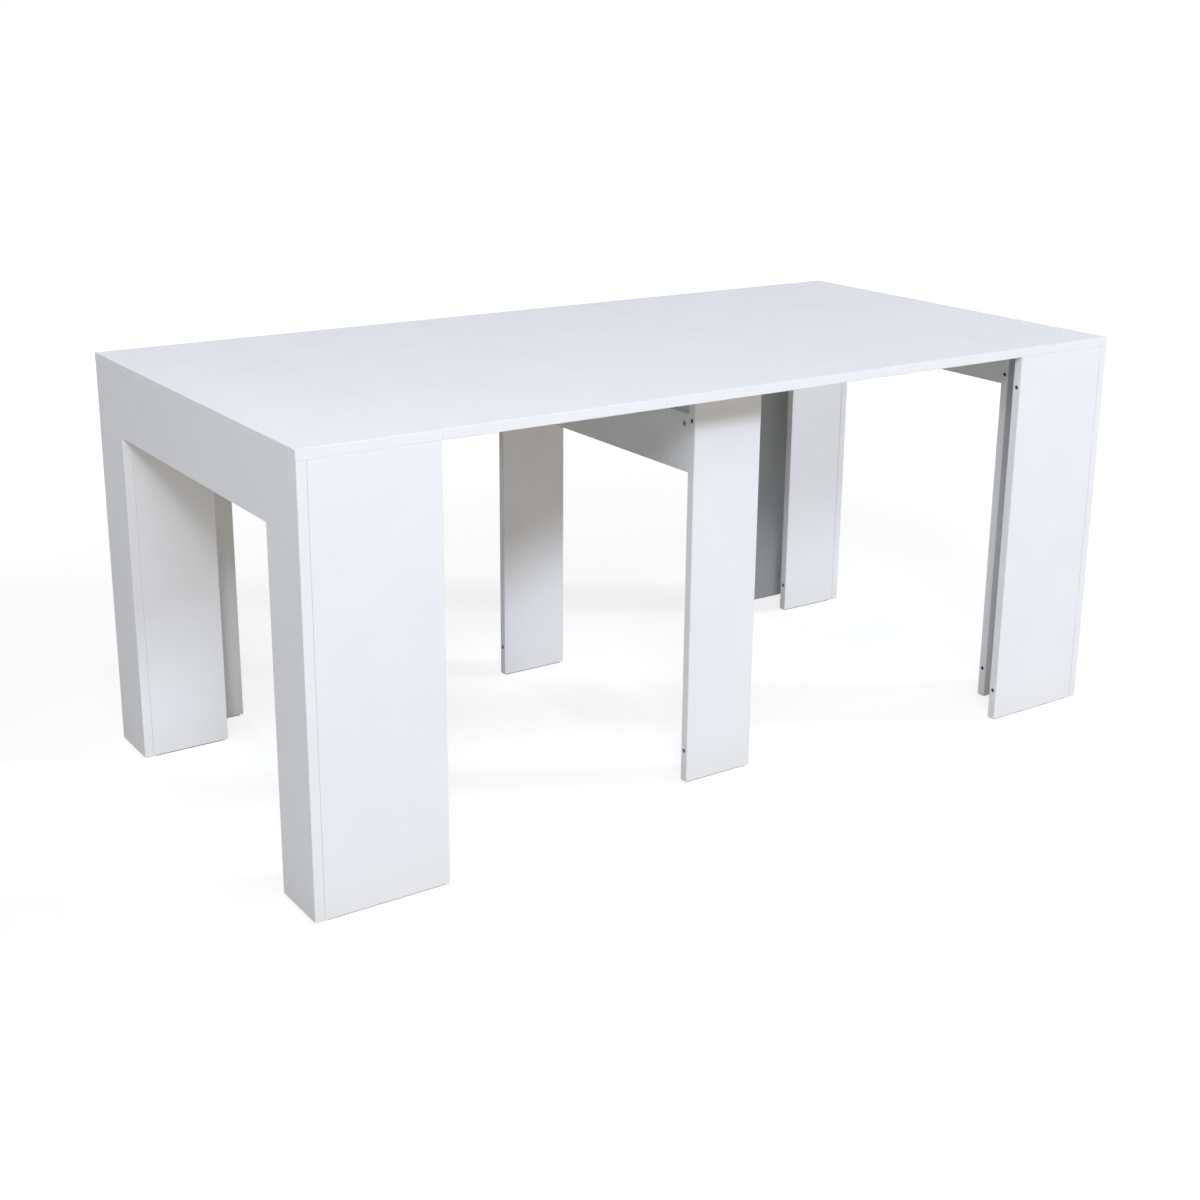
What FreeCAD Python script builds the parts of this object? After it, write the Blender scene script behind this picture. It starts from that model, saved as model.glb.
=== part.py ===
import FreeCAD, Part
import os
import re
import Sketcher

# Extending console table, drawn open with its leaves in: two end units on hollow legs, a middle leg,
# and two telescopic rails that carry the leaves. X runs along the table, Y from front to back,
# Z up from the floor under the middle of the table. Millimetres.

doc = FreeCAD.newDocument("ExtendingConsoleTable")
sheet = doc.addObject("Spreadsheet::Sheet", "Sizes")

sizes = {
    # Whole table and its boards
    "table_width": 900,
    "table_height": 793,
    "board": 18,
    "arris": 0.8,
    "leaf_length": 435,
    "seam": 0.4,
    # End units
    "end_depth": 250,
    "inner_depth": 173,
    "leg_width": 122,
    "apron_height": 125,
    # Corner blocks under the end tops
    "block_size": 22,
    "block_lip": 7,
    "block_length": 40,
    "block_inset": 50,
    # Middle leg
    "cross_height": 110,
    # Glide strips under the legs
    "glide_height": 3,
    "glide_width": 12,
    "glide_taper": 1.5,
    "glide_inset": 6,
    # Closing magnets in the edges of the leg panels
    "magnet_radius": 4,
    "magnet_length": 3,
    "magnet_recess": 1.5,
    "magnet_low": 65,
    "magnet_drop": 80,
    # Cam locks, bolts and dowels of the cross boards
    "cam_radius": 6,
    "cam_depth": 13,
    "cam_cap": 3,
    "cam_reach": 14,
    "cam_edge": 20,
    "bolt_radius": 3,
    "bolt_grip": 9,
    "dowel_radius": 4,
    "dowel_grip": 10,
    "dowel_length": 32,
    "dowel_edge": 30,
    "fit_gap": 0.1,
    # Telescopic rails
    "rail_end_room": 4,
    "rail_height": 48,
    "rail_thick": 12,
    "rail_inset": 66,
    "rail_gap": 0.5,
    "groove_lip": 3,
    "neck_height": 6,
    "head_height": 14,
    "head_depth": 3.5,
    "slide_gap": 0.3,
    "stage_travel": 34,
    "stop_length": 8,
    "stop_width": 4,
    "stop_height": 1.6,
    # Rail brackets
    "bracket_arm": 30,
    "bracket_thick": 2.5,
    # Pads between leaves and rails
    "pad_thick": 2,
    "pad_length": 30,
    "pad_inset": 20,
    # Overrun of a cut past the face it opens
    "overrun": 1,
}
for row, (alias, value) in enumerate(sizes.items(), start=1):
    sheet.set(f"A{row}", alias)
    sheet.set(f"B{row}", str(value))
    sheet.setAlias(f"B{row}", alias)
doc.recompute()

LEAVES = 3
STAGES = 5
MIDDLE_STAGE = 3
PIN_SIDES = 12

# Lengths and levels that follow from the sizes
LENGTH = f"(2 * end_depth + {LEAVES} * leaf_length + {LEAVES + 1} * seam)"
UNDERSIDE = "(table_height - board)"
PANEL_HEIGHT = f"({UNDERSIDE} - glide_height)"
INNER_INSET = "(leg_width - board)"
MIDDLE_WIDTH = "(2 * end_depth - 2 * inner_depth)"
RAIL_LENGTH = "(2 * end_depth - 2 * board - rail_end_room)"
RAIL_TOP = f"({UNDERSIDE} - pad_thick - slide_gap)"
RAIL_BOTTOM = f"({RAIL_TOP} - rail_height)"
STAGE_STEP = f"(({LENGTH} - 2 * board - {RAIL_LENGTH}) / {STAGES - 1})"
STOP_INSET = f"(({RAIL_LENGTH} - {STAGE_STEP} - 2 * stop_length - stage_travel - slide_gap) / 2)"
NECK_LENGTH = "(rail_gap + groove_lip + slide_gap)"
GROOVE_DEPTH = "(groove_lip + head_depth + 2 * slide_gap)"

parts = []


def bind(item, name, formula):
    """Tie a property to a formula written in the size names."""
    item.setExpression(name, re.sub(r"[a-z]\w*", r"Sizes.\g<0>", formula))


def place(item, corner):
    """Tie an item's position to three formulas."""
    for axis, formula in zip("xyz", corner):
        bind(item, f"Placement.Base.{axis}", formula)


def low_x(end, near, far):
    """Lowest X of a piece between two distances from the left or right end of the table."""
    return f"(-{LENGTH} / 2 + {near})" if end == "left" else f"({LENGTH} / 2 - ({far}))"


def low_y(row, near, far):
    """Lowest Y of a piece between two distances from the front or back of the table."""
    return f"(-table_width / 2 + {near})" if row == "front" else f"(table_width / 2 - ({far}))"


def sketch_on(body, axis, level):
    """A sketch square to an axis of its body, at a level along it."""
    role = {"x": "YZ_Plane", "y": "XZ_Plane", "z": "XY_Plane"}[axis]
    plane = next(item for item in body.Origin.OriginFeatures if item.Role == role)
    sketch = body.newObject("Sketcher::SketchObject", f"{body.Name}_sketch")
    sketch.AttachmentSupport = [(plane, "")]
    sketch.MapMode = "FlatFace"
    bind(sketch, "AttachmentOffset.Base.z", f"-({level})" if axis == "y" else level)
    return sketch


def fix_point(sketch, edge, end, point):
    """Tie a point of a sketch to its two coordinates."""
    for kind, formula in zip(("DistanceX", "DistanceY"), point):
        index = sketch.addConstraint(Sketcher.Constraint(kind, -1, 1, edge, end, 0))
        bind(sketch, f"Constraints[{index}]", formula)


def extrusion(label, axis, points, length, corner):
    """A body with a straight-sided outline square to an axis, padded along it."""
    body = doc.addObject("PartDesign::Body", label)
    body.Label = label
    sketch = sketch_on(body, axis, "0")
    count = len(points)
    loose = [FreeCAD.Vector(index, index * index, 0) for index in range(count)]
    for index in range(count):
        sketch.addGeometry(Part.LineSegment(loose[index], loose[(index + 1) % count]))
    for index in range(count):
        sketch.addConstraint(Sketcher.Constraint("Coincident", index, 2, (index + 1) % count, 1))
    for index, point in enumerate(points):
        fix_point(sketch, index, 1, point)
    pad = body.newObject("PartDesign::Pad", f"{label}_pad")
    pad.Profile = sketch
    bind(pad, "Length", length)
    pad.Reversed = axis == "y"
    place(body, corner)
    doc.recompute()
    return body


def board(label, axis, points, corner):
    """A board of the table's thickness with eased arrises round both of its faces."""
    body = extrusion(label, axis, points, "board", corner)
    pad = body.Tip
    faces = enumerate(pad.Shape.Faces, start=1)
    broad = [f"Face{number}" for number, face in faces if abs(getattr(face.normalAt(0, 0), axis)) > 0.5]
    chamfer = body.newObject("PartDesign::Chamfer", f"{label}_arris")
    chamfer.Base = (pad, broad)
    bind(chamfer, "Size", "arris")
    doc.recompute()
    parts.append(body)
    return body


def rectangle(wide, high):
    """The corners of a rectangle that starts at the origin."""
    return [("0", "0"), (wide, "0"), (wide, high), ("0", high)]


def bores(body, axis, level, direction, centres, radius, depth):
    """Round blind holes into a body, from a level on an axis, along (1) or against (-1) that axis."""
    sketch = sketch_on(body, axis, level)
    for index, centre in enumerate(centres):
        sketch.addGeometry(Part.Circle(FreeCAD.Vector(), FreeCAD.Vector(0, 0, 1), 1))
        fix_point(sketch, index, 3, centre)
        constraint = sketch.addConstraint(Sketcher.Constraint("Radius", index, 1))
        bind(sketch, f"Constraints[{constraint}]", radius)
    doc.recompute()
    before = body.Shape.Volume
    pocket = body.newObject("PartDesign::Pocket", f"{body.Name}_bores")
    pocket.Profile = sketch
    bind(pocket, "Length", depth)
    pocket.Reversed = (direction == 1) != (axis == "y")
    doc.recompute()
    if not body.Shape.Volume < before:
        raise ValueError(f"{body.Label}: the bores cut nothing")


def cylinder(label, radius, length, along, base):
    """A round piece from a base point, along a direction."""
    item = doc.addObject("Part::Cylinder", label)
    bind(item, "Radius", radius)
    bind(item, "Height", length)
    turn = FreeCAD.Rotation(FreeCAD.Vector(0, 0, 1), FreeCAD.Vector(*along))
    item.Placement = FreeCAD.Placement(FreeCAD.Vector(), turn)
    place(item, base)
    return item


def pin(label, radius, length, along, base):
    """A round pin inside boards, drawn with twelve sides, from a base point along a direction."""
    item = doc.addObject("Part::Prism", label)
    item.Polygon = PIN_SIDES
    bind(item, "Circumradius", radius)
    bind(item, "Height", length)
    turn = FreeCAD.Rotation(FreeCAD.Vector(0, 0, 1), FreeCAD.Vector(*along))
    item.Placement = FreeCAD.Placement(FreeCAD.Vector(), turn)
    place(item, base)
    return item


def box(label, spans, corner):
    """A plain block from its lowest corner."""
    item = doc.addObject("Part::Box", label)
    for name, formula in zip(("Length", "Width", "Height"), spans):
        bind(item, name, formula)
    place(item, corner)
    return item


def group(label, pieces):
    """Like pieces that share one node, each still a solid of its own."""
    compound = doc.addObject("Part::Compound", f"{label}_group")
    compound.Label = label
    compound.Links = pieces
    parts.append(compound)


# Glide strips. Plastic strips under the edges that stand on the floor, narrower where they touch it.
GLIDE_SECTION = [
    ("glide_taper", "0"), ("glide_width - glide_taper", "0"),
    ("glide_width", "glide_height"), ("0", "glide_height")]
GLIDE_MARGIN = "(board - glide_width) / 2"


def glide(label, axis, edge_length, corner):
    """A strip along the middle of a board's lower edge, from the board's lowest corner in plan."""
    x, y = corner
    along, across = "glide_inset", GLIDE_MARGIN
    start = (f"{x} + {along}", f"{y} + {across}") if axis == "x" else (f"{x} + {across}", f"{y} + {along}")
    return extrusion(label, axis, GLIDE_SECTION, f"{edge_length} - 2 * glide_inset", (*start, "0"))


# Closing magnets. Discs recessed in the upright edges of the leg panels, which hold the table shut.
MAGNET_LEVELS = ["magnet_low", "table_height - magnet_drop"]


def magnets(panel, corner, edge, facing):
    """Bores in one upright edge of a panel, and a disc on the floor of each."""
    x, y = corner
    depth = "(magnet_recess + magnet_length)"
    centres = [("board / 2", f"{level} - glide_height") for level in MAGNET_LEVELS]
    bores(panel, "x", edge, -facing, centres, "magnet_radius + fit_gap", depth)
    floor = f"{x} + {edge} - {facing} * {depth}"
    return [
        cylinder(f"{panel.Name}_magnet", "magnet_radius", "magnet_length", (facing, 0, 0),
                 (floor, f"{y} + board / 2", level))
        for level in MAGNET_LEVELS]


# End units. A U-shaped portal is glued over the ends of two hollow legs, each an outer and an inner
# panel, and corner blocks in the hollows hold the top board down on the panels.
for end in ("left", "right"):
    inward = 1 if end == "left" else -1
    board(f"{end}_top", "z", rectangle("end_depth", "table_width"),
          (low_x(end, "0", "end_depth"), "-table_width / 2", UNDERSIDE))

    portal_x = low_x(end, "0", "board")
    inner_edge = "table_width - leg_width"
    opening = f"{PANEL_HEIGHT} - apron_height"
    portal_outline = [
        ("0", "0"), ("leg_width", "0"), ("leg_width", opening), (inner_edge, opening),
        (inner_edge, "0"), ("table_width", "0"), ("table_width", PANEL_HEIGHT), ("0", PANEL_HEIGHT)]
    board(f"{end}_portal", "x", portal_outline, (portal_x, "-table_width / 2", "glide_height"))

    blocks = []
    strips = []
    discs = []
    for row in ("front", "back"):
        leg_y = low_y(row, "0", "leg_width")
        strips.append(glide(f"{end}_{row}_portal_glide", "y", "leg_width", (portal_x, leg_y)))
        for layer in ("outer", "inner"):
            reach = "end_depth" if layer == "outer" else "inner_depth"
            inset = "0" if layer == "outer" else INNER_INSET
            wide = f"({reach} - board)"
            x = low_x(end, "board", reach)
            y = low_y(row, inset, f"{inset} + board")
            name = f"{end}_{row}_{layer}"
            panel = board(f"{name}_panel", "y", rectangle(wide, PANEL_HEIGHT), (x, y, "glide_height"))
            discs += magnets(panel, (x, y), wide if end == "left" else "0", inward)
            strips.append(glide(f"{name}_glide", "x", wide, (x, y)))

            # Blocks stand in the hollow of the leg: two on an outer panel, one on an inner panel.
            hollow = 1 if (row == "front") == (layer == "outer") else -1
            section = [
                ("0", "0"), (f"{hollow} * block_size", "0"), (f"{hollow} * block_size", "-block_lip"),
                (f"{hollow} * block_lip", "-block_size"), ("0", "-block_size")]
            stations = ["block_inset", f"{wide} - block_inset"] if layer == "outer" else [f"{wide} / 2"]
            for station in stations:
                seat = (f"{x} + {station} - block_length / 2", f"{y} + {'board' if hollow == 1 else '0'}",
                        UNDERSIDE)
                blocks.append(extrusion(f"{name}_block", "x", section, "block_length", seat))

    group(f"{end}_corner_blocks", blocks)
    group(f"{end}_glides", strips)
    group(f"{end}_magnets", discs)

# Middle leg. Two panels in the planes of the inner panels, held apart by two cross boards, flush with
# their left and right edges, on which the middle bar of each rail rests.
middle_x = f"(-{MIDDLE_WIDTH} / 2)"
middle_height = f"({PANEL_HEIGHT} - slide_gap)"
cross_wide = "(table_width - 2 * leg_width)"
cross_y = "(-table_width / 2 + leg_width)"
cross_z = f"({RAIL_BOTTOM} - cross_height)"
cam_level = f"({RAIL_BOTTOM} - cam_edge)"
dowel_level = f"({cross_z} + dowel_edge)"
cam_spots = [(spot, f"{cam_level} - {cross_z}") for spot in ("cam_reach", f"{cross_wide} - cam_reach")]

# Each cross board: its start along the panels, its outer face from there, and the way into that face
CROSS_BOARDS = {"left": ("0", "0", 1), "right": (f"({MIDDLE_WIDTH} - board)", "board", -1)}
crosses = {}
for side, (start, face, inward) in CROSS_BOARDS.items():
    crosses[side] = board(f"middle_{side}_cross_board", "x", rectangle(cross_wide, "cross_height"),
                          (f"{middle_x} + {start}", cross_y, cross_z))
    bores(crosses[side], "x", face, inward, cam_spots, "cam_radius + fit_gap", "cam_depth")


def cam_lock(label, face_x, inward, y, outward):
    """A cam flush in the outer face of a cross board, slotted from its heart towards its bolt."""
    half = "(bolt_radius + fit_gap)"
    slot_length = f"(cam_radius + overrun + {half})"
    slot_start = f"{y} - {half}" if outward == 1 else f"{y} + {half} - {slot_length}"
    slot_x = f"{face_x} + cam_cap" if inward == 1 else f"{face_x} - cam_depth - overrun"
    lock = doc.addObject("Part::Cut", label)
    lock.Base = cylinder(f"{label}_drum", "cam_radius", "cam_depth", (inward, 0, 0), (face_x, y, cam_level))
    lock.Tool = box(f"{label}_slot", ("cam_depth - cam_cap + overrun", slot_length, f"2 * {half}"),
                    (slot_x, slot_start, f"{cam_level} - {half}"))
    return lock


cams = []
bolts = []
dowels = []
strips = []
discs = []
for row in ("front", "back"):
    outward = -1 if row == "front" else 1
    y = low_y(row, INNER_INSET, "leg_width")
    panel = board(f"middle_{row}_panel", "y", rectangle(MIDDLE_WIDTH, middle_height),
                  (middle_x, y, "glide_height"))
    strips.append(glide(f"middle_{row}_glide", "x", MIDDLE_WIDTH, (middle_x, y)))
    for edge, facing in (("0", -1), (MIDDLE_WIDTH, 1)):
        discs += magnets(panel, (middle_x, y), edge, facing)

    # A bolt and a dowel run from each end of a cross board into the inner face of the panel.
    board_end = "0" if row == "front" else cross_wide
    inner_face = "board" if row == "front" else "0"
    cam_y = f"({cross_y} + {board_end} - {outward} * cam_reach)"
    dowel_y = f"({cross_y} + {board_end} - {outward} * (dowel_length - dowel_grip))"
    for side, (start, face, inward) in CROSS_BOARDS.items():
        joint = f"({start} + board / 2)"
        joint_x = f"{middle_x} + {joint}"
        for level, radius, grip, hold in (
                (cam_level, "bolt_radius", "bolt_grip", "cam_reach"),
                (dowel_level, "dowel_radius", "dowel_grip", "dowel_length - dowel_grip")):
            fit = f"{radius} + fit_gap"
            bores(crosses[side], "y", board_end, -outward, [("board / 2", f"{level} - {cross_z}")], fit, hold)
            bores(panel, "y", inner_face, outward, [(joint, f"{level} - glide_height")], fit, grip)
        cams.append(cam_lock(f"middle_{row}_{side}_cam", f"{middle_x} + {start} + {face}", inward,
                             cam_y, outward))
        bolts.append(pin(f"middle_{row}_{side}_bolt", "bolt_radius", "cam_reach + bolt_grip",
                         (0, outward, 0), (joint_x, cam_y, cam_level)))
        dowels.append(pin(f"middle_{row}_{side}_dowel", "dowel_radius", "dowel_length",
                          (0, outward, 0), (joint_x, dowel_y, dowel_level)))

group("middle_cam_locks", cams)
group("middle_cam_bolts", bolts)
group("middle_dowels", dowels)
group("middle_glides", strips)
group("middle_magnets", discs)


# Telescopic rails. Each is five extruded bars side by side: a T-shaped tongue on one bar runs in the
# groove of the next, and a block in each groove meets a block in the tongue's channel at full reach.
def bar_inset(stage):
    """Distance of a bar's outer side from the front or back of the table."""
    return f"(leg_width + rail_inset + {stage - 1} * (rail_thick + rail_gap))"


def bar_section(sign, grooved, tongued):
    """The outline of a bar, its tongue pointing towards the middle of the table."""
    middle = "rail_height / 2"
    points = [("0", "0"), ("rail_thick", "0")]
    if tongued:
        neck = f"rail_thick + {NECK_LENGTH}"
        tip = f"{neck} + head_depth"
        half_channel = "(stop_width / 2 + slide_gap)"
        half_tongue = [
            ("rail_thick", "neck_height / 2"), (neck, "neck_height / 2"), (neck, "head_height / 2"),
            (tip, "head_height / 2"), (tip, half_channel), (f"{tip} - stop_height", half_channel)]
        points += [(y, f"{middle} - {rise}") for y, rise in half_tongue]
        points += [(y, f"{middle} + {rise}") for y, rise in reversed(half_tongue)]
    points += [("rail_thick", "rail_height"), ("0", "rail_height")]
    if grooved:
        mouth = "(neck_height / 2 + slide_gap)"
        cavity = "(head_height / 2 + slide_gap)"
        half_groove = [("0", mouth), ("groove_lip", mouth), ("groove_lip", cavity), (GROOVE_DEPTH, cavity)]
        points += [(y, f"{middle} + {rise}") for y, rise in half_groove]
        points += [(y, f"{middle} - {rise}") for y, rise in reversed(half_groove)]
    return [(f"{sign} * ({y})", z) for y, z in points]


for stage in range(1, STAGES + 1):
    stage_x = f"(-{LENGTH} / 2 + board + {stage - 1} * {STAGE_STEP})"
    stops = []
    for row in ("front", "back"):
        sign = 1 if row == "front" else -1
        outer_y = f"({-sign} * table_width / 2 + {sign} * {bar_inset(stage)})"
        grooved = stage > 1
        tongued = stage < STAGES
        bar = extrusion(f"{row}_rail_{stage}", "x", bar_section(sign, grooved, tongued), RAIL_LENGTH,
                        (stage_x, outer_y, RAIL_BOTTOM))
        parts.append(bar)

        # The block's far side: the floor of the groove, or the tip of the tongue.
        seats = []
        if grooved:
            seats.append((f"{stage_x} + {STOP_INSET}", GROOVE_DEPTH))
        if tongued:
            seats.append((f"{stage_x} + {RAIL_LENGTH} - {STOP_INSET} - stop_length",
                          f"(rail_thick + {NECK_LENGTH} + head_depth)"))
        for stop_x, far_side in seats:
            stop_y = f"{outer_y} + {far_side} - stop_height" if sign == 1 else f"{outer_y} - {far_side}"
            stops.append(box(f"{row}_stop_{stage}", ("stop_length", "stop_height", "stop_width"),
                             (stop_x, stop_y, f"{RAIL_BOTTOM} + rail_height / 2 - stop_width / 2")))
    group(f"rail_stops_{stage}", stops)


# Rail brackets. Steel angles hold the first and last bars to the portals, and the middle bars to the
# left cross board, each with one arm under its bar.
def brackets(label, stage, face_x, facing):
    """A pair of angles, one per rail, whose upright arms lie against a board's face."""
    section = [
        ("0", "0"), (f"{facing} * bracket_thick", "0"),
        (f"{facing} * bracket_thick", "bracket_arm - bracket_thick"),
        (f"{facing} * bracket_arm", "bracket_arm - bracket_thick"),
        (f"{facing} * bracket_arm", "bracket_arm"), ("0", "bracket_arm")]
    pair = []
    for row in ("front", "back"):
        y = low_y(row, bar_inset(stage), f"{bar_inset(stage)} + rail_thick")
        pair.append(extrusion(f"{label}_{row}", "y", section, "rail_thick",
                              (face_x, y, f"{RAIL_BOTTOM} - bracket_arm")))
    group(label, pair)


brackets("left_rail_brackets", 1, f"-{LENGTH} / 2 + board", 1)
brackets("middle_rail_brackets", MIDDLE_STAGE, f"{middle_x} + board", 1)
brackets("right_rail_brackets", STAGES, f"{LENGTH} / 2 - board", -1)

# Leaves. Plain boards that lie on the rails, each with four soft pads over the bars that carry it.
leaf_bars = [(1, 2), (3, 3), (4, 5)]
for number, bars in enumerate(leaf_bars, start=1):
    leaf_x = f"(-{LENGTH} / 2 + end_depth + {number} * seam + {number - 1} * leaf_length)"
    board(f"leaf_{number}", "z", rectangle("leaf_length", "table_width"),
          (leaf_x, "-table_width / 2", UNDERSIDE))
    pads = []
    for stage, start in zip(bars, ("pad_inset", "leaf_length - pad_inset - pad_length")):
        for row in ("front", "back"):
            y = low_y(row, bar_inset(stage), f"{bar_inset(stage)} + rail_thick")
            pads.append(box(f"leaf_{number}_pad", ("pad_length", "rail_thick", "pad_thick"),
                            (f"{leaf_x} + {start}", y, f"{UNDERSIDE} - pad_thick")))
    group(f"leaf_{number}_pads", pads)

doc.recompute()

for item in doc.Objects:
    if "Invalid" in item.State or "Error" in item.State:
        raise ValueError(f"{item.Label} did not build: {item.State}")
for item in parts:
    if item.Shape.isNull() or not item.Shape.isValid():
        raise ValueError(f"{item.Label} has no sound shape")

os.makedirs("parts", exist_ok=True)
for item in parts:
    item.Shape.exportStep(f"parts/{item.Label}.step")
    print(item.Label, len(item.Shape.Solids), round(item.Shape.Volume))
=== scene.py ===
"""Looks of the extending console table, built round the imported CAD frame.

The sections follow the order in which the table is put together: legs, feet, middle leg, rails, top.
Sizes are written in millimetres and turned to metres with MM, because the frame is in metres.
"""

import math

import bpy
import numpy as np
from mathutils import Matrix, Vector


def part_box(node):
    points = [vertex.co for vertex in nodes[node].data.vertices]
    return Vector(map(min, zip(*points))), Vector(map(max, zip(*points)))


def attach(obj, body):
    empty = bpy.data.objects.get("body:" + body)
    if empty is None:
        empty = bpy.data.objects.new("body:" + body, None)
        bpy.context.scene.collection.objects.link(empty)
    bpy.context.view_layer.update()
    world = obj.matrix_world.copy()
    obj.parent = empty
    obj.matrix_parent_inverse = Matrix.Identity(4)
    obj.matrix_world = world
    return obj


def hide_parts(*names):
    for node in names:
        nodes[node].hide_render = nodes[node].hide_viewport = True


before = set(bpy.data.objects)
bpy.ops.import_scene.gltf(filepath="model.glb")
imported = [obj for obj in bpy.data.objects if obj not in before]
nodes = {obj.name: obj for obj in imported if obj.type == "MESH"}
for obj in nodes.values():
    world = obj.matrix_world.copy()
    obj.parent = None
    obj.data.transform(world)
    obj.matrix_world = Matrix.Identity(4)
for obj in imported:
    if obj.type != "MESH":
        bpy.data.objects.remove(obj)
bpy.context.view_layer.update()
MM = 0.001


# Leg panels and portals. Chipboard pressed between white melamine papers, cut square and edged with
# white band whose arrises are eased. Four panels stand behind each U-shaped portal, glued to it.
def linear(code):
    """An sRGB hex colour as linear red, green, blue and alpha: the curve's straight foot, then its power."""
    share = np.array([int(code[start:start + 2], 16) for start in (0, 2, 4)]) / 255
    foot = share / 12.92
    curve = ((share + 0.055) / 1.055) ** 2.4
    return (*np.where(share <= 0.04045, foot, curve), 1)


def add(tree, kind, settings, sockets):
    """A new node: settings are its properties, and a socket takes a value or another node's output."""
    made = tree.nodes.new(kind)
    for name, value in settings.items():
        setattr(made, name, value)
    for name, value in sockets.items():
        if isinstance(value, bpy.types.NodeSocket):
            tree.links.new(value, made.inputs[name])
        else:
            made.inputs[name].default_value = value
    return made


def new_material(name):
    """An empty node material, its tree, and the object's own coordinates in that tree."""
    made = bpy.data.materials.new(name)
    made.use_nodes = True
    tree = made.node_tree
    tree.nodes.clear()
    place = add(tree, "ShaderNodeTexCoord", {}, {}).outputs["Object"]
    return made, tree, place


def coat(tree, **sockets):
    """Make the surface a Principled shader; each socket takes a value or a node's output."""
    named = {socket.replace("_", " "): value for socket, value in sockets.items()}
    shader = add(tree, "ShaderNodeBsdfPrincipled", {}, named)
    add(tree, "ShaderNodeOutputMaterial", {}, {"Surface": shader.outputs["BSDF"]})


def clouds(tree, place, width, detail):
    """Soft noise from 0 to 1, in clouds about this wide."""
    sockets = {"Vector": place, "Scale": 1 / width, "Detail": detail}
    return add(tree, "ShaderNodeTexNoise", {}, sockets).outputs["Fac"]


def blend(tree, share, first, second):
    """The first colour where the share is 0, the second where it is 1."""
    return add(tree, "ShaderNodeMix", {"data_type": "RGBA"}, {0: share, 6: first, 7: second}).outputs[2]


def spread(tree, value, low, high, start=0.0, stop=1.0, curve="LINEAR"):
    """A value that runs from start to stop, made to run from low to high."""
    sockets = {"Value": value, "From Min": start, "From Max": stop, "To Min": low, "To Max": high}
    return add(tree, "ShaderNodeMapRange", {"interpolation_type": curve}, sockets).outputs["Result"]


def relief(tree, height, depth):
    """Normals of a surface that rises by this depth as the height goes from 0 to 1."""
    return add(tree, "ShaderNodeBump", {}, {"Height": height, "Distance": depth}).outputs["Normal"]


def painted_crevice_shade(tree, reach, shut, clear, most):
    """A share of painted shade, from none in the open to the most where near surfaces shut out the light.

    Light from within the reach counts; shut and clear are the shares of it where the painted shade is full
    and none.
    """
    rays = 8
    # Painted shade: the colour darkens by ambient occlusion where near surfaces shut out the light.
    light = add(tree, "ShaderNodeAmbientOcclusion", {"samples": rays}, {"Distance": reach})
    return spread(tree, light.outputs["AO"], most, 0.0, shut, clear)


def dress(finish, *names):
    """Give CAD nodes a finish in their own material slots."""
    for name in names:
        for holder in nodes[name].material_slots:
            holder.material = finish


def melamine(name, painted_joint_shade):
    """White melamine paper, pressed on a fine pearl plate: an even cool white with a soft satin sheen.

    The colour drifts by about three percent over a hand's breadth, the sheen a little more, and a pearl
    grain, drawn at three millimetres because its real half millimetre is too fine to show, breaks the
    reflections. The lowest hand's breadth carries a trace of floor dust, and the hairline joints between
    glued boards carry painted shade, darker grey where near surfaces shut out the light.
    """
    drift_width = 140 * MM
    sheen_width = 45 * MM
    pearl_width = 3 * MM
    pearl_depth = 0.02 * MM
    dust_height = 90 * MM
    dust_share = 0.25
    joint_reach = 2 * MM
    made, tree, place = new_material(name)
    drift = clouds(tree, place, drift_width, detail=2.0)
    white = blend(tree, drift, linear("E8EBEF"), linear("EFF1F4"))
    level = add(tree, "ShaderNodeSeparateXYZ", {}, {"Vector": place}).outputs["Z"]
    dust = spread(tree, level, dust_share, 0.0, stop=dust_height, curve="SMOOTHSTEP")
    soiled = blend(tree, dust, white, linear("DEDCD8"))
    # Painted shade: the hairline joints between boards turn dark grey by ambient occlusion.
    joint_shade_mask = painted_crevice_shade(tree, joint_reach, shut=0.5, clear=0.9, most=painted_joint_shade)
    joint_shaded = blend(tree, joint_shade_mask, soiled, linear("6F6C68"))
    sheen = clouds(tree, place, sheen_width, detail=3.0)
    gloss = spread(tree, sheen, 0.44, 0.52, start=0.3, stop=0.7)
    pearl = clouds(tree, place, pearl_width, detail=1.0)
    grain = relief(tree, pearl, pearl_depth)
    coat(tree, Base_Color=joint_shaded, Roughness=gloss, Normal=grain, IOR=1.5)
    return made


white_board = melamine("white_melamine_panel", painted_joint_shade=0.28)
ENDS = ("left", "right")
ROWS = ("front", "back")
LAYERS = ("outer", "inner")
leg_panels = {end: [f"{end}_{row}_{layer}_panel" for row in ROWS for layer in LAYERS] for end in ENDS}
leg_panels["middle"] = [f"middle_{row}_panel" for row in ROWS]
for end in ENDS:
    dress(white_board, f"{end}_portal", *leg_panels[end])


# Closing magnets. Dark nickel-plated discs in pressed cups, glued into blind bores in the upright edges
# of the panels and sunk below the edge. The wall of each bore is raw chipboard.
def new_piece(name, points, faces, finish, body):
    """A smooth-shaded mesh, sharp where it turns by more than a third of a right angle, riding on a body."""
    sharp_turn = math.radians(30)
    mesh = bpy.data.meshes.new(name)
    mesh.from_pydata(points.tolist(), [], faces)
    mesh.shade_smooth()
    mesh.set_sharp_from_angle(angle=sharp_turn)
    mesh.materials.append(finish)
    made = bpy.data.objects.new(name, mesh)
    bpy.context.scene.collection.objects.link(made)
    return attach(made, body)


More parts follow.
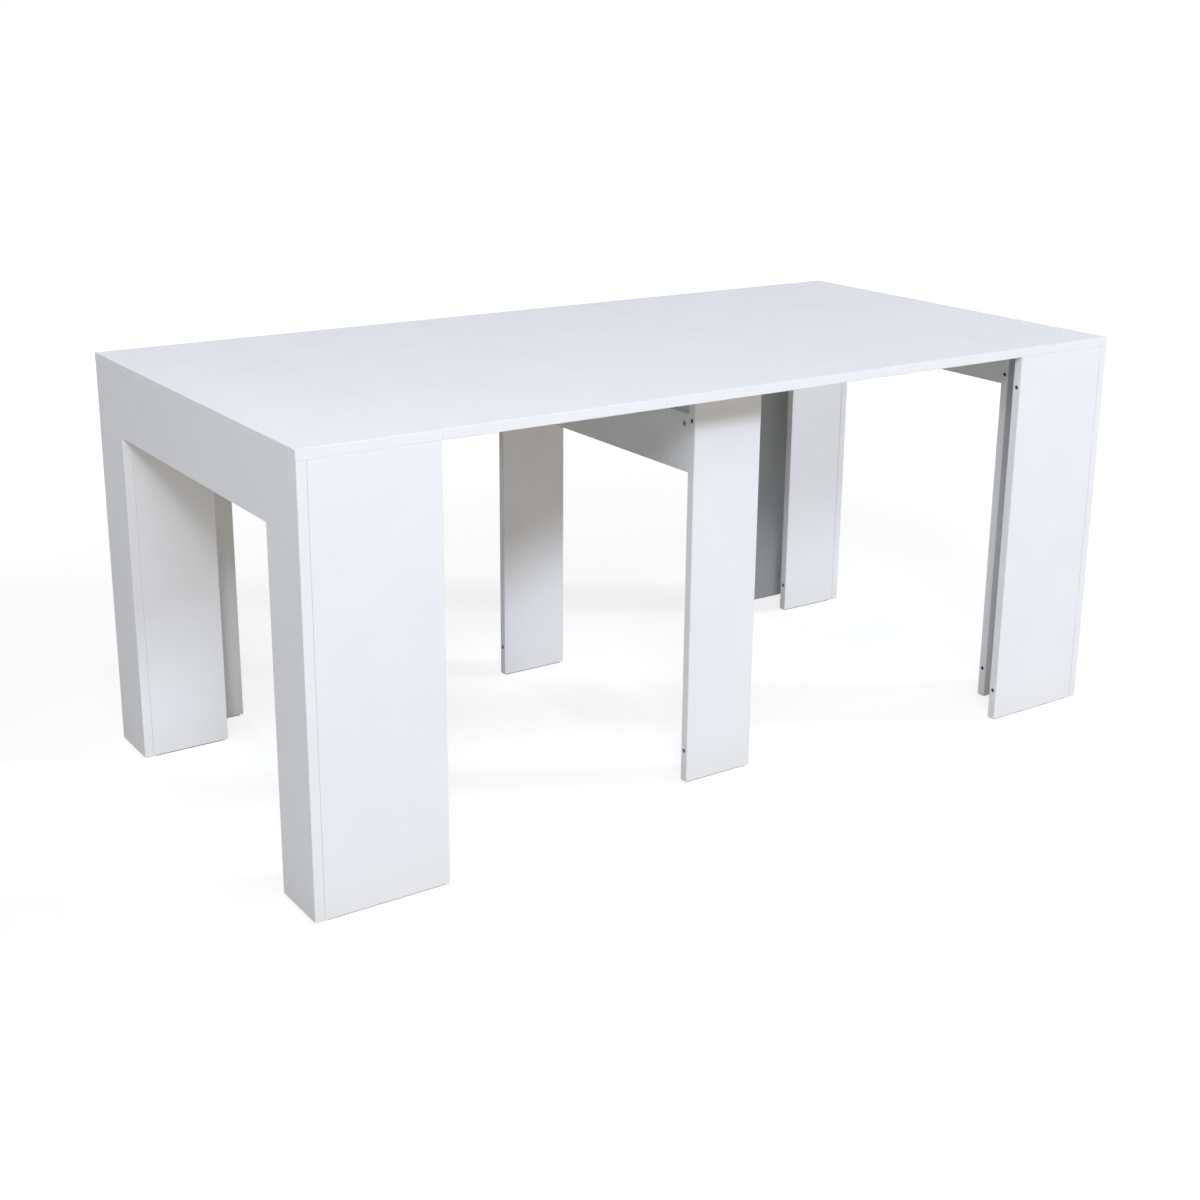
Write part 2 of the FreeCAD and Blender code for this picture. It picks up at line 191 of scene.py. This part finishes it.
def turned(radii, heights, seats, spokes=48, hollow=False):
    """Points and faces of round solids, one on each seat, a seat being a centre and its outward way.

    Ring i has radius radii[i], and at spoke j it stands heights[i, j] above the seat along that way. A
    point on the axis closes the first ring and another the last; a hollow solid joins those two rings.
    """
    rings = len(radii)
    radii = np.array(radii)
    heights = np.broadcast_to(np.array(heights).reshape(rings, -1), (rings, spokes))
    turn = np.linspace(0, 2 * math.pi, spokes, endpoint=False)
    here = np.arange(spokes)
    after = (here + 1) % spokes
    ring = np.arange(rings if hollow else rings - 1)[:, None] * spokes
    outer = (ring + spokes) % (rings * spokes)
    walls = np.stack([ring + here, outer + here, outer + after, ring + after], axis=2).reshape(-1, 4)
    last = (rings - 1) * spokes
    tip = np.full(spokes, rings * spokes)
    first_cap = np.stack([tip, here, after], axis=1)
    last_cap = np.stack([tip + 1, last + after, last + here], axis=1)
    one_solid = [walls] if hollow else [walls, first_cap, last_cap]
    points = []
    faces = []
    for centre, way in seats:
        across = np.array(Vector(way).orthogonal().normalized())
        beside = np.cross(way, across)
        spoke = np.cos(turn)[:, None] * across + np.sin(turn)[:, None] * beside
        solid = (radii[:, None, None] * spoke + heights[:, :, None] * np.array(way)).reshape(-1, 3)
        if not hollow:
            axis = np.outer(heights[[0, -1]].mean(axis=1), way)
            solid = np.concatenate([solid, axis])
        start = sum(map(len, points))
        points.append(solid + np.array(centre))
        for part in one_solid:
            faces += (part + start).tolist()
    return np.concatenate(points), faces


def dark_nickel():
    """Dark nickel plate over a pressed cup: a smoky metal with soft, slightly streaked reflections."""
    streak = 0.8 * MM
    made, tree, place = new_material("dark_nickel_plate")
    smoke = clouds(tree, place, streak, detail=2.0)
    plate = blend(tree, smoke, linear("3F4042"), linear("5E5F62"))
    coat(tree, Base_Color=plate, Roughness=spread(tree, smoke, 0.3, 0.5), Metallic=1.0)
    return made


def chipboard():
    """Raw chipboard cut across: tan wood chips of about a millimetre in darker resin, matt and rough."""
    chip = 1.2 * MM
    chip_depth = 0.1 * MM
    made, tree, place = new_material("raw_chipboard")
    chips = add(tree, "ShaderNodeTexVoronoi", {}, {"Vector": place, "Scale": 1 / chip})
    share = add(tree, "ShaderNodeSeparateColor", {}, {"Color": chips.outputs["Color"]}).outputs["Red"]
    tan = blend(tree, share, linear("7A5F42"), linear("B99A70"))
    rough = relief(tree, chips.outputs["Distance"], chip_depth)
    coat(tree, Base_Color=tan, Roughness=0.9, Normal=rough)
    return made


MAGNET_RADIUS = 4 * MM
MAGNET_SUNK = 1.5 * MM
# Radius and height of each ring: from the disc's middle over the gap and the cup's rim, then down its wall.
CUP_PROFILE = np.array([
    (1.2, 0), (2.9, 0), (3.1, -0.1), (3.15, -0.35), (3.35, -0.35),
    (3.4, 0.1), (3.85, 0.1), (4.0, -0.05), (4.0, -2.8), (3.8, -3.0)]) * MM
BORE_PROFILE = np.array([(4.02, -1.4), (4.02, -0.1), (4.08, -0.1), (4.08, -1.4)]) * MM
nickel = dark_nickel()
raw_wood = chipboard()
unit_bodies = {"left": "left_end", "middle": "middle_leg", "right": "right_end"}
magnet_edges = {"left": (1,), "middle": (-1, 1), "right": (-1,)}
for unit, panels in leg_panels.items():
    low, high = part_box(f"{unit}_magnets")
    levels = (low.z + MAGNET_RADIUS, high.z - MAGNET_RADIUS)
    mouths = []
    for panel in panels:
        low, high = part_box(panel)
        for facing in magnet_edges[unit]:
            edge = high.x if facing == 1 else low.x
            mouths += [((edge, (low.y + high.y) / 2, level), (facing, 0, 0)) for level in levels]
    seats = [((mouth[0] - way[0] * MAGNET_SUNK, *mouth[1:]), way) for mouth, way in mouths]
    cup_shape = turned(*CUP_PROFILE.T, seats)
    cups = new_piece(f"{unit}_magnet_cups", *cup_shape, nickel, unit_bodies[unit])
    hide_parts(f"{unit}_magnets")
    bore_shape = turned(*BORE_PROFILE.T, mouths, hollow=True)
    new_piece(f"{unit}_bore_walls", *bore_shape, raw_wood, unit_bodies[unit])


# Glide strips. Grey polyethylene strips tacked under the boards that stand on the floor, set in from the
# faces so that only a dark line shows.
def polyethylene():
    """Moulded polyethylene: a waxy mid grey with a faint flow of tone along the strip."""
    flow_width = 12 * MM
    made, tree, place = new_material("grey_polyethylene")
    flow = clouds(tree, place, flow_width, detail=3.0)
    grey = blend(tree, flow, linear("77777A"), linear("858588"))
    coat(tree, Base_Color=grey, Roughness=spread(tree, flow, 0.42, 0.58), IOR=1.51)
    return made


dress(polyethylene(), "left_glides", "middle_glides", "right_glides")


# Corner blocks. White nylon blocks in the hollows of the legs, moulded with two flat lips; one screw
# goes up through the lower lip into the top board and one sideways into the panel.
def nylon():
    """Moulded nylon: a milky off-white, finely sparked, with a soft sheen."""
    spark = 1.5 * MM
    spark_depth = 0.03 * MM
    made, tree, place = new_material("white_nylon")
    grit = clouds(tree, place, spark, detail=2.0)
    milk = blend(tree, grit, linear("DBD9D3"), linear("E9E7E2"))
    coat(tree, Base_Color=milk, Roughness=0.5, Normal=relief(tree, grit, spark_depth), IOR=1.53)
    return made


def plated_steel():
    """Zinc-plated steel: a pale metal with faint blue and straw clouds from its passivation."""
    cloud_width = 5 * MM
    made, tree, place = new_material("zinc_plated_steel")
    cloud = clouds(tree, place, cloud_width, detail=3.0)
    bloom = blend(tree, cloud, linear("B7BEC8"), linear("CFCBBE"))
    coat(tree, Base_Color=bloom, Roughness=spread(tree, cloud, 0.25, 0.45), Metallic=1.0)
    return made


def polar_grid(radii, spokes):
    """How far each point of a grid of rings lies across and beside the axis: radius times cosine and sine."""
    turn = np.linspace(0, 2 * math.pi, spokes, endpoint=False)
    return np.outer(radii, np.cos(turn)), np.outer(radii, np.sin(turn))


def cross_recess(across, beside, half_width, reach, depth):
    """Depth of a driver's cross: full along two crossing arms, running out towards the ends of the arms."""
    wall = half_width * 0.4
    run_out = reach * 0.5
    nearest = np.minimum(np.abs(across), np.abs(beside))
    arm = np.clip((half_width - nearest) / wall + 0.5, 0, 1)
    taper = np.clip((reach - np.hypot(across, beside)) / run_out, 0, 1)
    return depth * arm * taper


def screw_heads(seats, radius, spokes=48):
    """Pan heads: a flattened dome that drops to the seat at its rim, with a driver's cross sunk in it.

    The dome stands at the root of one less the fourth power of the share of the radius. A last ring turns
    the rim in under the head.
    """
    rise = radius * 0.6
    foot = radius * 0.9
    cross = {"half_width": radius * 0.13, "reach": radius * 0.62, "depth": rise * 0.7}
    share = np.linspace(0.06, 1, 15)
    dome = rise * (1 - share ** 4) ** 0.5
    sunk = cross_recess(*polar_grid(radius * share, spokes), **cross)
    radii = np.append(radius * share, foot)
    heights = np.vstack([dome[:, None] - sunk, np.zeros((1, spokes))])
    return turned(radii, heights, seats, spokes)


BLOCK_SIZE = 22 * MM
BLOCK_LIP = 7 * MM
BLOCK_INSET = 50 * MM
BLOCK_SCREW_RADIUS = 2.9 * MM
BLOCK_SCREW_SPREAD = 10 * MM
steel = plated_steel()
dress(nylon(), "left_corner_blocks", "right_corner_blocks")
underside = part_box("left_top")[0].z
lip_middle = BLOCK_LIP / 2
for end in ENDS:
    seats = []
    for panel in leg_panels[end]:
        low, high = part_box(panel)
        outer = "outer" in panel
        hollow = 1 if ("front" in panel) == outer else -1
        face = high.y if hollow == 1 else low.y
        stations = (low.x + BLOCK_INSET, high.x - BLOCK_INSET) if outer else ((low.x + high.x) / 2,)
        for station in stations:
            below = (station - BLOCK_SCREW_SPREAD, face + hollow * lip_middle, underside - BLOCK_SIZE)
            inward = (station + BLOCK_SCREW_SPREAD, face + hollow * BLOCK_SIZE, underside - lip_middle)
            seats += [(below, (0, 0, -1)), (inward, (0, hollow, 0))]
    screws = new_piece(f"{end}_block_screws", *screw_heads(seats, BLOCK_SCREW_RADIUS), steel, f"{end}_end")


# Middle leg. Two panels of the same white board, held apart by two cross boards. Cam locks in their outer
# faces draw them onto bolts in the panels, beside glued beech dowels.
def die_cast_zinc():
    """Die-cast zinc: a dull grey metal with a fine cast grain, with painted shade darkening it down in its
    recess.
    """
    grain_width = 0.8 * MM
    grain_depth = 0.03 * MM
    recess_reach = 4 * MM
    made, tree, place = new_material("die_cast_zinc")
    grain = clouds(tree, place, grain_width, detail=2.0)
    dull = blend(tree, grain, linear("B2B2B0"), linear("C4C4C2"))
    # Painted shade: ambient occlusion turns the cam's socket and cross near black.
    recess_shade_mask = painted_crevice_shade(tree, recess_reach, shut=0.45, clear=0.8, most=1.0)
    recess_shaded = blend(tree, recess_shade_mask, dull, linear("2C2B29"))
    coat(tree, Base_Color=recess_shaded, Roughness=0.5, Normal=relief(tree, grain, grain_depth), Metallic=1.0)
    return made


def beech():
    """Turned beech: a pinkish tan with short darker flecks along the dowel, which lies across the table."""
    fleck_length = 6 * MM
    fleck_width = 0.6 * MM
    made, tree, place = new_material("turned_beech")
    along = add(tree, "ShaderNodeMapping", {}, {
        "Vector": place, "Scale": (1 / fleck_width, 1 / fleck_length, 1 / fleck_width)})
    fleck = clouds(tree, along.outputs["Vector"], width=1, detail=3.0)
    coat(tree, Base_Color=blend(tree, fleck, linear("B98E63"), linear("D8B48A")), Roughness=0.65)
    return made


def cam_locks(seats, radius, depth, spokes=64):
    """Cam drums sunk in a board: a flat face with a ring groove, over a drum of the cam's depth.

    The face is a grid of rings, sunk in the middle by a round socket with a driver's cross through it. The
    groove is a bell curve over the share of the radius. The last two rings carry the drum down to its floor.
    """
    socket = radius * 0.5
    socket_wall = socket * 0.12
    sink = depth * 0.25
    groove_place = 0.84
    groove_width = 0.03
    groove_depth = sink * 0.12
    rim_drop = sink * 0.1
    foot = radius * 0.9
    share = np.linspace(0.03, 1, 34)
    across, beside = polar_grid(radius * share, spokes)
    cross = cross_recess(across, beside, half_width=radius * 0.16, reach=radius * 0.92, depth=sink)
    well = sink * np.clip((socket - radius * share) / socket_wall, 0, 1)
    groove = groove_depth * np.exp(-((share - groove_place) / groove_width) ** 2)
    face = -np.maximum(well[:, None], cross) - groove[:, None]
    face[-1] = -rim_drop
    floor_rings = np.full((2, spokes), -depth)
    radii = np.concatenate([radius * share, [radius, foot]])
    return turned(radii, np.vstack([face, floor_rings]), seats, spokes)


dress(white_board, "middle_left_cross_board", "middle_right_cross_board", *leg_panels["middle"])
dress(steel, "middle_cam_bolts")
dress(beech(), "middle_dowels")
CAM_DEPTH = 13 * MM
low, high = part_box("middle_cam_locks")
cam_radius = (high.z - low.z) / 2
cam_level = (low.z + high.z) / 2
cam_seats = [
    ((face, y, cam_level), (facing, 0, 0))
    for face, facing in ((low.x, -1), (high.x, 1)) for y in (low.y + cam_radius, high.y - cam_radius)]
cam_shape = cam_locks(cam_seats, cam_radius, CAM_DEPTH)
cams = new_piece("middle_cam_drums", *cam_shape, die_cast_zinc(), "middle_leg")
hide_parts("middle_cam_locks")


# Telescopic rails. Extruded aluminium bars that run in one another, satin anodised; steel blocks in their
# grooves stop them, and steel angles screw them to the portals and to a cross board.
def anodised_aluminium():
    """Satin anodised extrusion: a pale metal with fine die lines along the bar.

    The lines are drawn a millimetre apart, because the real ones are too fine to show.
    """
    line_gap = 1.0 * MM
    line_length = 300 * MM
    line_depth = 0.02 * MM
    made, tree, place = new_material("anodised_aluminium")
    along = add(tree, "ShaderNodeMapping", {}, {
        "Vector": place, "Scale": (1 / line_length, 1 / line_gap, 1 / line_gap)})
    lines = clouds(tree, along.outputs["Vector"], width=1, detail=2.0)
    pale = blend(tree, lines, linear("CFD1D4"), linear("E0E2E4"))
    gloss = spread(tree, lines, 0.28, 0.46)
    coat(tree, Base_Color=pale, Roughness=gloss, Normal=relief(tree, lines, line_depth), Metallic=1.0)
    return made


STAGES = (1, 2, 3, 4, 5)
aluminium = anodised_aluminium()
for stage in STAGES:
    dress(aluminium, f"front_rail_{stage}", f"back_rail_{stage}")
    dress(steel, f"rail_stops_{stage}")

BRACKET_THICK = 2.5 * MM
BRACKET_SCREW_RADIUS = 3.5 * MM
RAIL_THICK = 12 * MM
for unit, facing in (("left", 1), ("middle", 1), ("right", -1)):
    dress(steel, f"{unit}_rail_brackets")
    low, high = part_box(f"{unit}_rail_brackets")
    wall = (low.x if facing == 1 else high.x) + facing * BRACKET_THICK
    seats = []
    for y in (low.y + RAIL_THICK / 2, high.y - RAIL_THICK / 2):
        seats.append(((wall, y, (low.z + high.z) / 2), (facing, 0, 0)))
        seats.append((((low.x + high.x) / 2, y, high.z - BRACKET_THICK), (0, 0, -1)))
    screw_shape = screw_heads(seats, BRACKET_SCREW_RADIUS)
    screws = new_piece(f"{unit}_bracket_screws", *screw_shape, steel, unit_bodies[unit])


# Top. Two end boards fixed over the legs and three loose leaves between them, of the same white board,
# butted with a hairline seam. The leaves lie on the rails on dark rubber pads.
def pad_rubber():
    """Moulded rubber: a matt near-black with a fine dusty bloom."""
    bloom_width = 4 * MM
    made, tree, place = new_material("dark_rubber")
    bloom = clouds(tree, place, bloom_width, detail=3.0)
    coat(tree, Base_Color=blend(tree, bloom, linear("2B2B2C"), linear("3E3E40")), Roughness=0.85)
    return made


LEAVES = (1, 2, 3)
white_top = melamine("white_melamine_top", painted_joint_shade=0.0)
dress(white_top, "left_top", "right_top", *(f"leaf_{number}" for number in LEAVES))
dress(pad_rubber(), *(f"leaf_{number}_pads" for number in LEAVES))


# Floor. A plain pale studio floor that runs out of sight. It shows white to the eye and in reflections,
# with the table's soft shadow on it, and sends a low warm light back up, as a timber floor does.
def seen_rays(tree):
    """1 for rays that show a thing to the eye: straight, mirrored or through glass."""
    path = add(tree, "ShaderNodeLightPath", {}, {})
    mirrored = add(tree, "ShaderNodeMath", {"operation": "ADD"}, {
        0: path.outputs["Is Camera Ray"], 1: path.outputs["Is Glossy Ray"]})
    return add(tree, "ShaderNodeMath", {"operation": "ADD", "use_clamp": True}, {
        0: mirrored.outputs[0], 1: path.outputs["Is Transmission Ray"]}).outputs[0]


def pale_floor():
    """A matt floor: to the eye a glow just under white, which lamp light lifts to white except in shadow.

    The glow rises to full white away from the table. Seen from below the floor is clear.
    """
    shadow_reach = 1.6
    white_reach = 4.0
    shadow_glow = 0.76
    made, tree, place = new_material("pale_studio_floor")
    away = add(tree, "ShaderNodeVectorMath", {"operation": "LENGTH"}, {0: place}).outputs["Value"]
    level = spread(tree, away, shadow_glow, 1.0, shadow_reach, white_reach, curve="SMOOTHSTEP")
    pale = add(tree, "ShaderNodeBsdfDiffuse", {}, {"Color": linear("9A9A9A")})
    glow = add(tree, "ShaderNodeEmission", {}, {"Strength": level})
    shown = add(tree, "ShaderNodeAddShader", {}, {0: pale.outputs[0], 1: glow.outputs[0]})
    bounce = add(tree, "ShaderNodeBsdfDiffuse", {}, {"Color": linear("AFAA9E")})
    lit = add(tree, "ShaderNodeMixShader", {}, {
        0: seen_rays(tree), 1: bounce.outputs[0], 2: shown.outputs[0]})
    clear = add(tree, "ShaderNodeBsdfTransparent", {}, {})
    side = add(tree, "ShaderNodeNewGeometry", {}, {})
    both = add(tree, "ShaderNodeMixShader", {}, {
        0: side.outputs["Backfacing"], 1: lit.outputs[0], 2: clear.outputs[0]})
    add(tree, "ShaderNodeOutputMaterial", {}, {"Surface": both.outputs[0]})
    return made


FLOOR_RADIUS = 14
FLOOR_SIDES = 96
rim_x, rim_y = polar_grid([FLOOR_RADIUS], FLOOR_SIDES)
rim = np.stack([rim_x[0], rim_y[0], np.zeros(FLOOR_SIDES)], axis=1)
floor_mesh = bpy.data.meshes.new("studio_floor")
floor_mesh.from_pydata(rim.tolist(), [], [list(range(FLOOR_SIDES))])
floor_mesh.materials.append(pale_floor())
floor = bpy.data.objects.new("studio_floor", floor_mesh)
bpy.context.scene.collection.objects.link(floor)

# Light. Square softboxes round the table, each given by its azimuth from the front, its elevation, its
# distance and width in metres, the brightness it gives a white card that faces it, and its tint. They
# are kept out of reflections, where they would glare on the top. An even room light fills the rest.
SOFTBOXES = {
    "right": (60, 19.3, 13, 1.8, 0.72, "E8F1FF"),
    "near_right": (80, 25, 4.5, 0.6, 0.13, "FFFFFC"),
    "low_right": (30, 3, 9, 1.8, 0.15, "FFEBD9"),
    "front": (-30, 31.2, 13, 1.8, 0.23, "EFF5FF"),
    "high_left": (-45, 45, 4, 2.4, 0.43, "FAFCFF"),
    "low_left": (-75, 10.3, 13, 1.8, 0.12, "F4F5FF"),
    "back": (180, 18, 13, 1.8, 0.36, "FFFBF6"),
}
SOFTBOX_AIM = Matrix.Translation((0, 0, 0.5))
ROOM_LEVEL = 0.085
for name, (azimuth, elevation, distance, width, level, tint) in SOFTBOXES.items():
    lamp = bpy.data.lights.new(name, "AREA")
    lamp.shape = "SQUARE"
    lamp.size = width
    lamp.color = linear(tint)[:3]
    lamp.energy = level * math.pi ** 2 * distance ** 2
    holder = bpy.data.objects.new(name, lamp)
    bpy.context.scene.collection.objects.link(holder)
    round_about = Matrix.Rotation(math.radians(azimuth), 4, "Z")
    tipped = Matrix.Rotation(math.radians(90 - elevation), 4, "X")
    holder.matrix_world = SOFTBOX_AIM @ round_about @ tipped @ Matrix.Translation((0, 0, distance))
    holder.visible_glossy = False

world = bpy.data.worlds.new("studio")
bpy.context.scene.world = world
world.use_nodes = True
sky = world.node_tree
sky.nodes.clear()
backdrop = add(sky, "ShaderNodeBackground", {}, {"Color": linear("FFFFFF"), "Strength": 1.0})
room = add(sky, "ShaderNodeBackground", {}, {"Color": linear("FFF8F4"), "Strength": ROOM_LEVEL})
around = add(sky, "ShaderNodeMixShader", {}, {
    0: seen_rays(sky), 1: room.outputs[0], 2: backdrop.outputs[0]})
add(sky, "ShaderNodeOutputWorld", {}, {"Surface": around.outputs[0]})

# Camera. It stands off the left front corner at head height, turned right and a little down, with its
# frame shifted so that the table sits where the photograph has it.
CAMERA_PLACE = (-1.943, -2.7926, 1.4269)
CAMERA_YAW = 34.669
CAMERA_PITCH = -16.727
CAMERA_ROLL = 0.649
CAMERA_LENS = 52.263
SENSOR_WIDTH = 36
FRAME_SIDE = 1200
OPTICAL_CENTRE = (614.51, 532.46)
camera = bpy.data.cameras.new("camera")
camera.sensor_width = SENSOR_WIDTH
camera.lens = CAMERA_LENS
camera.shift_x = 0.5 - OPTICAL_CENTRE[0] / FRAME_SIDE
camera.shift_y = OPTICAL_CENTRE[1] / FRAME_SIDE - 0.5
camera_holder = bpy.data.objects.new("camera", camera)
bpy.context.scene.collection.objects.link(camera_holder)
camera_holder.matrix_world = (
    Matrix.Translation(CAMERA_PLACE)
    @ Matrix.Rotation(math.radians(-CAMERA_YAW), 4, "Z")
    @ Matrix.Rotation(math.radians(90 + CAMERA_PITCH), 4, "X")
    @ Matrix.Rotation(math.radians(CAMERA_ROLL), 4, "Z"))
bpy.context.scene.camera = camera_holder
bpy.context.scene.view_settings.view_transform = "Standard"
